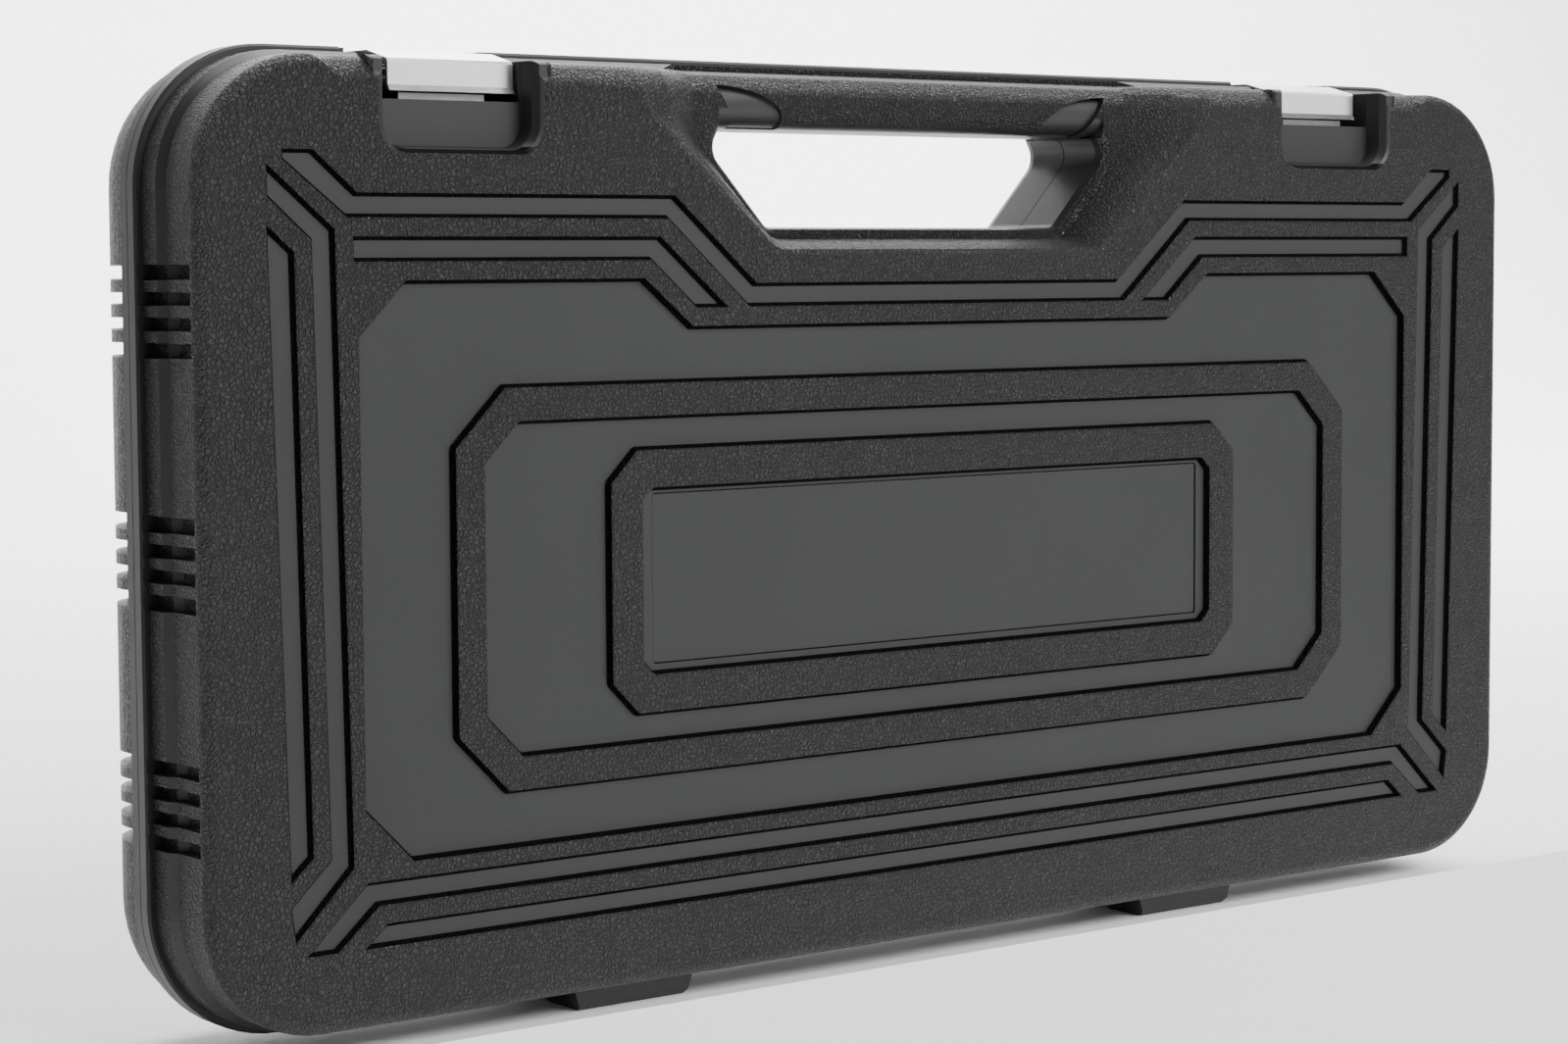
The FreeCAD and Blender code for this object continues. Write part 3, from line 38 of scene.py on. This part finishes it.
# ---------------------------------------------------------------- node graphs as formulas
class Field:
    """A number that varies over a surface, built as shader nodes by ordinary arithmetic."""

    def __init__(self, tree, socket):
        self.tree = tree
        self.socket = socket

    def math(self, operation, *others):
        node = self.tree.nodes.new("ShaderNodeMath")
        node.operation = operation
        for slot, value in zip(node.inputs, (self,) + others):
            if isinstance(value, Field):
                self.tree.links.new(value.socket, slot)
            else:
                slot.default_value = value
        return Field(self.tree, node.outputs[0])

    def __add__(self, other):
        return self.math("ADD", other)

    def __sub__(self, other):
        return self.math("SUBTRACT", other)

    def __mul__(self, other):
        return self.math("MULTIPLY", other)

    def size(self):
        return self.math("ABSOLUTE")

    def both(self, *others):
        """True where this and all the others are true."""
        result = self
        for other in others:
            result = result * other
        return result

    def either(self, *others):
        result = self
        for other in others:
            result = result.math("MAXIMUM", other)
        return result

    def turned_off(self):
        return (self * -1.0) + 1.0

    def above(self, edge, soft=0.15 * MM):
        """0 below the edge and 1 above it, over a soft width."""
        node = self.tree.nodes.new("ShaderNodeMapRange")
        node.interpolation_type = "SMOOTHSTEP"
        self.tree.links.new(self.socket, node.inputs["Value"])
        if isinstance(edge, Field):
            self.tree.links.new((self - edge).socket, node.inputs["Value"])
            edge = 0.0
        node.inputs["From Min"].default_value = edge - soft
        node.inputs["From Max"].default_value = edge + soft
        return Field(self.tree, node.outputs["Result"])

    def below(self, edge, soft=0.15 * MM):
        return self.above(edge, soft).turned_off()

    def between(self, low, high, soft=0.15 * MM):
        return self.above(low, soft).both(self.below(high, soft))

    def spread(self, low, high):
        """Rescale from 0..1 to low..high."""
        return self * (high - low) + low


class Surface:
    """One material under construction: its places, its patterns and its shader."""

    def __init__(self, name):
        self.material = bpy.data.materials.new(name)
        self.material.use_nodes = True
        self.tree = self.material.node_tree
        self.shader = self.tree.nodes["Principled BSDF"]
        self.coordinates = self.tree.nodes.new("ShaderNodeTexCoord")
        self.bump_in = None

    def place(self):
        """x, y and z in the row frame, on the body at rest."""
        return self._split(self.coordinates.outputs["Object"])

    def facing(self):
        return self._split(self.coordinates.outputs["Normal"])

    def _split(self, socket):
        node = self.tree.nodes.new("ShaderNodeSeparateXYZ")
        self.tree.links.new(socket, node.inputs[0])
        return [Field(self.tree, out) for out in node.outputs]

    def stretched(self, x=1.0, y=1.0, z=1.0):
        node = self.tree.nodes.new("ShaderNodeMapping")
        node.inputs["Scale"].default_value = (x, y, z)
        self.tree.links.new(self.coordinates.outputs["Object"], node.inputs["Vector"])
        return node.outputs["Vector"]

    def noise(self, size, detail, vector=None):
        """Cloudy noise whose blobs are about size metres across."""
        node = self.tree.nodes.new("ShaderNodeTexNoise")
        node.inputs["Scale"].default_value = 1.0 / size
        node.inputs["Detail"].default_value = detail
        self.tree.links.new(vector or self.coordinates.outputs["Object"], node.inputs["Vector"])
        return Field(self.tree, node.outputs["Fac"])

    def wrinkles(self, size, warp):
        """Distance from the nearest crease between leather-like cells, warped by noise."""
        bend = self.tree.nodes.new("ShaderNodeTexNoise")
        bend.inputs["Scale"].default_value = 0.8 / size
        bend.inputs["Detail"].default_value = 1.0
        source = self.coordinates.outputs["Object"]
        self.tree.links.new(source, bend.inputs["Vector"])
        mix = self.tree.nodes.new("ShaderNodeVectorMath")
        mix.operation = "MULTIPLY_ADD"
        self.tree.links.new(bend.outputs["Color"], mix.inputs[0])
        mix.inputs[1].default_value = (warp, warp, warp)
        self.tree.links.new(source, mix.inputs[2])
        cells = self.tree.nodes.new("ShaderNodeTexVoronoi")
        cells.feature = "DISTANCE_TO_EDGE"
        cells.inputs["Scale"].default_value = 1.0 / size
        self.tree.links.new(mix.outputs[0], cells.inputs["Vector"])
        return Field(self.tree, cells.outputs["Distance"])

    def bump(self, height, distance, strength=1.0):
        """Add a relief; strength may vary over the surface."""
        node = self.tree.nodes.new("ShaderNodeBump")
        node.inputs["Distance"].default_value = distance
        self.tree.links.new(height.socket, node.inputs["Height"])
        if isinstance(strength, Field):
            self.tree.links.new(strength.socket, node.inputs["Strength"])
        else:
            node.inputs["Strength"].default_value = strength
        if self.bump_in is not None:
            self.tree.links.new(self.bump_in, node.inputs["Normal"])
        self.bump_in = node.outputs["Normal"]
        self.tree.links.new(self.bump_in, self.shader.inputs["Normal"])

    def shade(self, amount, dark, light):
        """Base colour between two colours."""
        node = self.tree.nodes.new("ShaderNodeMix")
        node.data_type = "RGBA"
        node.inputs["A"].default_value = (*dark, 1.0)
        node.inputs["B"].default_value = (*light, 1.0)
        self.tree.links.new(amount.socket, node.inputs["Factor"])
        self.tree.links.new(node.outputs["Result"], self.shader.inputs["Base Color"])

    def rough(self, value):
        if isinstance(value, Field):
            self.tree.links.new(value.socket, self.shader.inputs["Roughness"])
        else:
            self.shader.inputs["Roughness"].default_value = value

    def gloss(self, value):
        """Strength of the reflection, as a field."""
        self.tree.links.new(value.socket, self.shader.inputs["Specular IOR Level"])

    def set(self, **values):
        for name, value in values.items():
            self.shader.inputs[name.replace("_", " ")].default_value = value
        return self


# ---------------------------------------------------------------- case plastic
GRAIN = 1.35 * MM                  # distance between the creases of the leather grain
GRAIN_RELIEF = 0.95 * MM

# The pattern of panel and strips ends short of the case's edges and of the dip at the handle.
PATTERN_HALF_W, PATTERN_LOW, PATTERN_TOP = 229.5 * MM, 27.0 * MM, 240.5 * MM
DIP_LOW, DIP_CORNER_Z, DIP_CORNER_X, DIP_SLOPE = 209.5 * MM, 212.0 * MM, 65.5 * MM, 1.136
RELIEF_NEAR, RELIEF_FAR = 0.7 * MM, 3.6 * MM    # how far the panel and strips are sunk
# Depths of the steep relief walls, whose colour is painted dark as shade.
WALL_NEAR, WALL_FAR = 0.12 * MM, 2.6 * MM

# Smooth places of the mould; a depth is measured from the joint line.
RIM_DEPTH = 4.2 * MM
STEP_NEAR, STEP_FAR = 11.8 * MM, 15.2 * MM
SCOOP_X, SCOOP_HALF_W, SCOOP_LOW = 168.0 * MM, 27.2 * MM, 237.2 * MM
LATCH_X, REST_HALF_W, REST_LOW, REST_DEPTH = 166.0 * MM, 26.5 * MM, 257.0 * MM, 19.8 * MM
DISH_DEPTH = 11.5 * MM             # how far the grip's front lies behind the face
FACET_OUT, FACET_LOW, FACET_LONG, FACET_HIGH = 75.5 * MM, 247.1 * MM, 26.0 * MM, 12.5 * MM
HOLE_HALF_W, HOLE_LOW, HOLE_TOP = 81.0 * MM, 217.0 * MM, 247.8 * MM
FOOT_X, FOOT_HALF_W, FOOT_TOP, FOOT_DEPTH = 109.0 * MM, 22.8 * MM, 8.8 * MM, 21.3 * MM


def pattern_zone(surface):
    """1 over the part of each face that carries the panel and strips, clear of the handle."""
    x, _, z = surface.place()
    across = x.size()
    dip_edge = (z - DIP_CORNER_Z) * DIP_SLOPE + DIP_CORNER_X
    in_dip = z.above(DIP_LOW).both(across.below(dip_edge))
    return in_dip.turned_off().both(across.below(PATTERN_HALF_W), z.between(PATTERN_LOW, PATTERN_TOP))


def facet_zone(across, z, sunk):
    """1 on the polished quarter ellipses at the two ends of the grip."""
    along, up = across - FACET_OUT, z - FACET_LOW
    reach = (along * (1.0 / FACET_LONG)).math("POWER", 2.0) + (up * (1.0 / FACET_HIGH)).math("POWER", 2.0)
    return reach.below(1.01, 0.01).both(
        sunk.above(DISH_DEPTH + 0.4 * MM), up.above(-1.0 * MM), across.below(FACET_OUT + 1.0 * MM))


def smooth_zones(surface):
    """1 where the mould is polished, 0 where it is grained."""
    x, y, z = surface.place()
    _, ny, _ = surface.facing()
    across, depth = x.size(), y.size()
    sunk = (depth * -1.0) + FACE_Y
    front = (y * -1.0).above(0.0)
    relief = sunk.between(RELIEF_NEAR, RELIEF_FAR, 0.2 * MM).both(
        ny.size().above(0.8, 0.1), pattern_zone(surface))
    rim = depth.below(RIM_DEPTH + 0.1 * MM, 0.1 * MM)
    step = depth.between(STEP_NEAR, STEP_FAR).both(front, ny.size().between(0.25, 0.7, 0.05))
    scoop = (across - SCOOP_X).size().below(SCOOP_HALF_W).both(
        z.above(SCOOP_LOW), front, sunk.above(0.25 * MM, 0.15 * MM))
    rest = (across - LATCH_X).size().below(REST_HALF_W).both(
        z.above(REST_LOW), depth.below(REST_DEPTH))
    hole = ny.size().below(0.55, 0.1).both(
        sunk.above(DISH_DEPTH + 0.6 * MM), across.below(HOLE_HALF_W), z.between(HOLE_LOW, HOLE_TOP))
    foot = z.below(FOOT_TOP).both(
        (across - FOOT_X).size().below(FOOT_HALF_W), depth.below(FOOT_DEPTH))
    return relief.either(rim, step, scoop, rest, facet_zone(across, z, sunk), hole, foot)


def relief_walls(surface):
    """1 on the steep little walls around the panel, frames and strips, where shade is painted."""
    _, y, _ = surface.place()
    _, ny, _ = surface.facing()
    sunk = (y.size() * -1.0) + FACE_Y
    return sunk.between(WALL_NEAR, WALL_FAR, 0.1 * MM).both(
        ny.size().below(0.86, 0.08), pattern_zone(surface))


def case_plastic():
    """Black polypropylene: leather grain, polished strips, and painted shade on the steep walls around
    them.
    """
    s = Surface("case_plastic_look")
    smooth = smooth_zones(s)
    grained = smooth.turned_off()
    walls = relief_walls(s)
    clear_of_painted_shade = walls.turned_off()
    crease = s.wrinkles(GRAIN, 1.3 * MM)
    fine = s.wrinkles(GRAIN * 0.5, 0.6 * MM)
    hills = crease.above(0.13, 0.12) * 0.7 + fine.above(0.12, 0.11) * 0.3
    clouds = s.noise(60 * MM, 3.0)
    # Grain crests are painted lighter and creases darker: painted highlights and painted shade on the
    # grain; the clouds are random tone.
    tone_and_painted_light = (grained * hills).spread(0.0, 0.8) + smooth * 0.42 + clouds * 0.2
    # The steep relief walls are painted down to a tenth of the tone: painted shade in the recesses.
    s.shade(tone_and_painted_light * clear_of_painted_shade.spread(0.1, 1.0), (0.0045, 0.0047, 0.0047), (0.040, 0.041, 0.041))
    polish = s.noise(9 * MM, 4.0, vector=s.stretched(1.0, 1.0, 0.12))
    s.rough(smooth.spread(0.46, 0.40) + polish * 0.08 - hills * grained * 0.16 + walls * 0.3)
    s.set(IOR=1.49)
    # Their reflection is turned down too, as part of the same painted shade.
    s.gloss(clear_of_painted_shade.spread(0.06, 1.0) * smooth.spread(0.42, 0.34))
    s.bump(s.noise(24 * MM, 2.0), 1.2 * MM, 0.10)
    s.bump(s.noise(1.1 * MM, 3.0, vector=s.stretched(1.0, 1.0, 0.2)), 0.02 * MM,
           smooth.spread(0.0, 0.5))
    s.bump(hills, GRAIN_RELIEF, grained)
    return s.material


def tray_plastic():
    """Satin black inner trays, with a fine even grain."""
    s = Surface("tray_plastic_look")
    grain = s.wrinkles(0.8 * MM, 0.4 * MM).above(0.10, 0.10)
    s.shade(grain * 0.5 + s.noise(40 * MM, 3.0) * 0.5, (0.022, 0.022, 0.024), (0.05, 0.05, 0.053))
    s.rough(grain.spread(0.55, 0.44))
    s.bump(s.noise(30 * MM, 2.0), 1.0 * MM, 0.15)
    s.bump(grain, 0.08 * MM, 0.6)
    return s.material


# ---------------------------------------------------------------- metals and rubber
def latch_steel():
    """Bright nickel plate over pressed steel, with faint rolling marks."""
    s = Surface("latch_steel_look")
    marks = s.noise(0.35 * MM, 3.0, vector=s.stretched(0.05, 1.0, 1.0))
    haze = s.noise(14 * MM, 3.0)
    s.set(Metallic=1.0)
    s.shade(haze, (0.84, 0.84, 0.86), (0.95, 0.95, 0.96))
    s.rough(marks * 0.10 + haze * 0.08 + 0.14)
    s.bump(marks, 0.01 * MM, 0.35)
    return s.material


def keeper_steel():
    s = Surface("keeper_steel_look")
    mottle = s.noise(3 * MM, 4.0)
    s.set(Metallic=1.0)
    s.shade(mottle, (0.16, 0.16, 0.17), (0.30, 0.30, 0.31))
    s.rough(mottle.spread(0.28, 0.45))
    s.bump(s.noise(0.6 * MM, 3.0), 0.02 * MM, 0.5)
    return s.material


def pin_steel():
    s = Surface("pin_steel_look")
    lathe = s.noise(0.25 * MM, 2.0, vector=s.stretched(1.0, 0.08, 0.08))
    s.set(Metallic=1.0)
    s.shade(s.noise(5 * MM, 3.0), (0.45, 0.45, 0.47), (0.68, 0.68, 0.70))
    s.rough(lathe.spread(0.18, 0.36))
    s.bump(lathe, 0.015 * MM, 0.5)
    return s.material


def tool_chrome(name, along):
    """Satin chrome; along is the axis the lathe marks run around."""
    s = Surface(name)
    stretch = {"x": (1.0, 0.04, 0.04), "y": (0.04, 1.0, 0.04), "z": (0.04, 0.04, 1.0)}[along]
    lathe = s.noise(0.30 * MM, 3.0, vector=s.stretched(*stretch))
    haze = s.noise(18 * MM, 4.0)
    s.set(Metallic=1.0)
    s.shade(haze, (0.62, 0.62, 0.64), (0.82, 0.82, 0.84))
    s.rough(lathe * 0.12 + haze * 0.10 + 0.10)
    s.bump(lathe, 0.012 * MM, 0.4)
    return s.material


def tool_steel():
    """Oiled, darker steel of the gear, pawl and lever."""
    s = Surface("tool_steel_look")
    mottle = s.noise(4 * MM, 4.0)
    s.set(Metallic=1.0)
    s.shade(mottle, (0.26, 0.26, 0.27), (0.46, 0.46, 0.48))
    s.rough(mottle.spread(0.22, 0.42))
    s.bump(s.noise(0.5 * MM, 3.0), 0.015 * MM, 0.5)
    return s.material


def soft_black(name, grain, light):
    """Rubbery black with a fine pebble."""
    s = Surface(name)
    pebbles = s.wrinkles(grain, grain * 0.5).above(0.12, 0.12)
    s.shade(pebbles * 0.6 + s.noise(20 * MM, 3.0) * 0.4, (0.012, 0.012, 0.013), light)
    s.rough(pebbles.spread(0.75, 0.58))
    s.bump(pebbles, 0.06 * MM, 0.7)
    return s.material


def dress(names, material):
    """Give each of the named CAD nodes one material."""
    for name in names:
        mesh = NODES[name].data
        mesh.materials.clear()
        mesh.materials.append(material)


def dress_everything():
    dress(["base_shell", "lid_shell"], case_plastic())
    dress(["base_tray", "lid_tray"], tray_plastic())
    dress(["latch_left", "latch_right"], latch_steel())
    dress(["latch_keepers"], keeper_steel())
    dress(["hinge_pins", "latch_pins", "keeper_rivets", "cover_screws", "ratchet_ball",
           "release_button", "t_bar_ball", "extension_balls"], pin_steel())
    upright = [n for n in NODES if n.startswith("socket_")]
    lying = [n for n in NODES if n.startswith(("spark_socket", "wrench_", "extension_1", "extension_2"))]
    dress(upright, tool_chrome("tool_chrome_z_look", "z"))
    dress(lying + ["t_bar_rod", "ratchet_body"], tool_chrome("tool_chrome_x_look", "x"))
    dress(["ratchet_cover", "t_bar_head"], tool_chrome("tool_chrome_y_look", "y"))
    dress(["ratchet_drive", "reversing_lever", "ratchet_pawl"], tool_steel())
    dress(["ratchet_grip"], soft_black("grip_plastic_look", 0.7 * MM, (0.04, 0.04, 0.042)))
    dress(["spark_insert_16", "spark_insert_21"],
          soft_black("insert_rubber_look", 0.5 * MM, (0.03, 0.03, 0.03)))


# ---------------------------------------------------------------- stage, light and camera
TABLE_EDGE, TABLE_DROP = -0.0285, -0.45     # room for the lid to swing down before the table


def stage_material():
    s = Surface("stage_look")
    s.shade(s.noise(0.5, 2.0), (0.95, 0.95, 0.95), (0.97, 0.97, 0.97))
    s.rough(0.9)
    return s.material


def stage():
    """A pale table whose front edge runs just before the case, under a backdrop sweep."""
    width, back, height, bend = 5.0, 2.4, 2.6, 0.9
    profile = [(-4.0, TABLE_DROP), (TABLE_EDGE, TABLE_DROP), (TABLE_EDGE, 0.0), (back - bend, 0.0)]
    for k in range(1, 13):
        a = math.radians(7.5 * k)
        profile.append((back - bend + bend * math.sin(a), bend - bend * math.cos(a)))
    profile.append((back, height))
    verts = [(side, y, z) for side in (-width, width) for y, z in profile]
    count = len(profile)
    faces = [(i, i + 1, count + i + 1, count + i) for i in range(count - 1)]
    mesh = bpy.data.meshes.new("floor")
    mesh.from_pydata(verts, [], faces)
    mesh.materials.append(stage_material())
    floor = bpy.data.objects.new("floor", mesh)
    bpy.context.collection.objects.link(floor)


def area_light(name, place, target, size, power):
    """A softbox that lights and reflects but isn't seen itself."""
    data = bpy.data.lights.new(name, "AREA")
    data.shape = "RECTANGLE"
    data.size, data.size_y = size
    data.energy = power
    light = bpy.data.objects.new(name, data)
    light.location = place
    aim = Vector(target) - Vector(place)
    light.rotation_euler = aim.to_track_quat("-Z", "Y").to_euler()
    light.visible_camera = False
    bpy.context.collection.objects.link(light)


def lights():
    world = bpy.data.worlds.new("soft_world")
    world.use_nodes = True
    world.node_tree.nodes["Background"].inputs["Color"].default_value = (1.0, 1.0, 1.0, 1.0)
    world.node_tree.nodes["Background"].inputs["Strength"].default_value = 0.14
    bpy.context.scene.world = world
    middle = (0.0, 0.0, 0.13)
    area_light("key", (0.55, -1.7, 1.35), middle, (1.5, 1.1), 62.0)
    area_light("fill", (-1.4, -1.5, 0.7), middle, (0.8, 0.8), 2.0)
    area_light("card", (1.1, -1.3, 0.12), middle, (1.4, 1.3), 7.0)
    area_light("top", (0.1, 0.35, 1.9), middle, (1.4, 0.8), 26.0)
    area_light("backdrop", (1.6, 0.9, 2.2), (2.2, 2.4, 0.5), (2.4, 1.2), 270.0)


# The camera stands 38 degrees round to the left of the case's face and looks a little down.
CAMERA_PLACE = (-0.6594, -0.7969, 0.2089)
CAMERA_YAW, CAMERA_PITCH, CAMERA_ROLL = 37.95, 4.36, -0.333
CAMERA_LENS, SENSOR = 78.04, 36.0


def camera():
    yaw, pitch, roll = (math.radians(a) for a in (CAMERA_YAW, CAMERA_PITCH, CAMERA_ROLL))
    ahead = Vector((math.sin(yaw) * math.cos(pitch), math.cos(yaw) * math.cos(pitch),
                    -math.sin(pitch)))
    right = Vector((math.cos(yaw), -math.sin(yaw), 0.0))
    up = right.cross(ahead)
    right, up = (right * math.cos(roll) + up * math.sin(roll),
                 up * math.cos(roll) - right * math.sin(roll))
    data = bpy.data.cameras.new("camera")
    data.lens = CAMERA_LENS
    data.sensor_width = SENSOR
    data.clip_start = 0.01
    eye = bpy.data.objects.new("camera", data)
    turn = Matrix((right, up, -ahead)).transposed().to_4x4()
    eye.matrix_world = Matrix.Translation(CAMERA_PLACE) @ turn
    bpy.context.collection.objects.link(eye)
    bpy.context.scene.camera = eye


dress_everything()
stage()
lights()
camera()
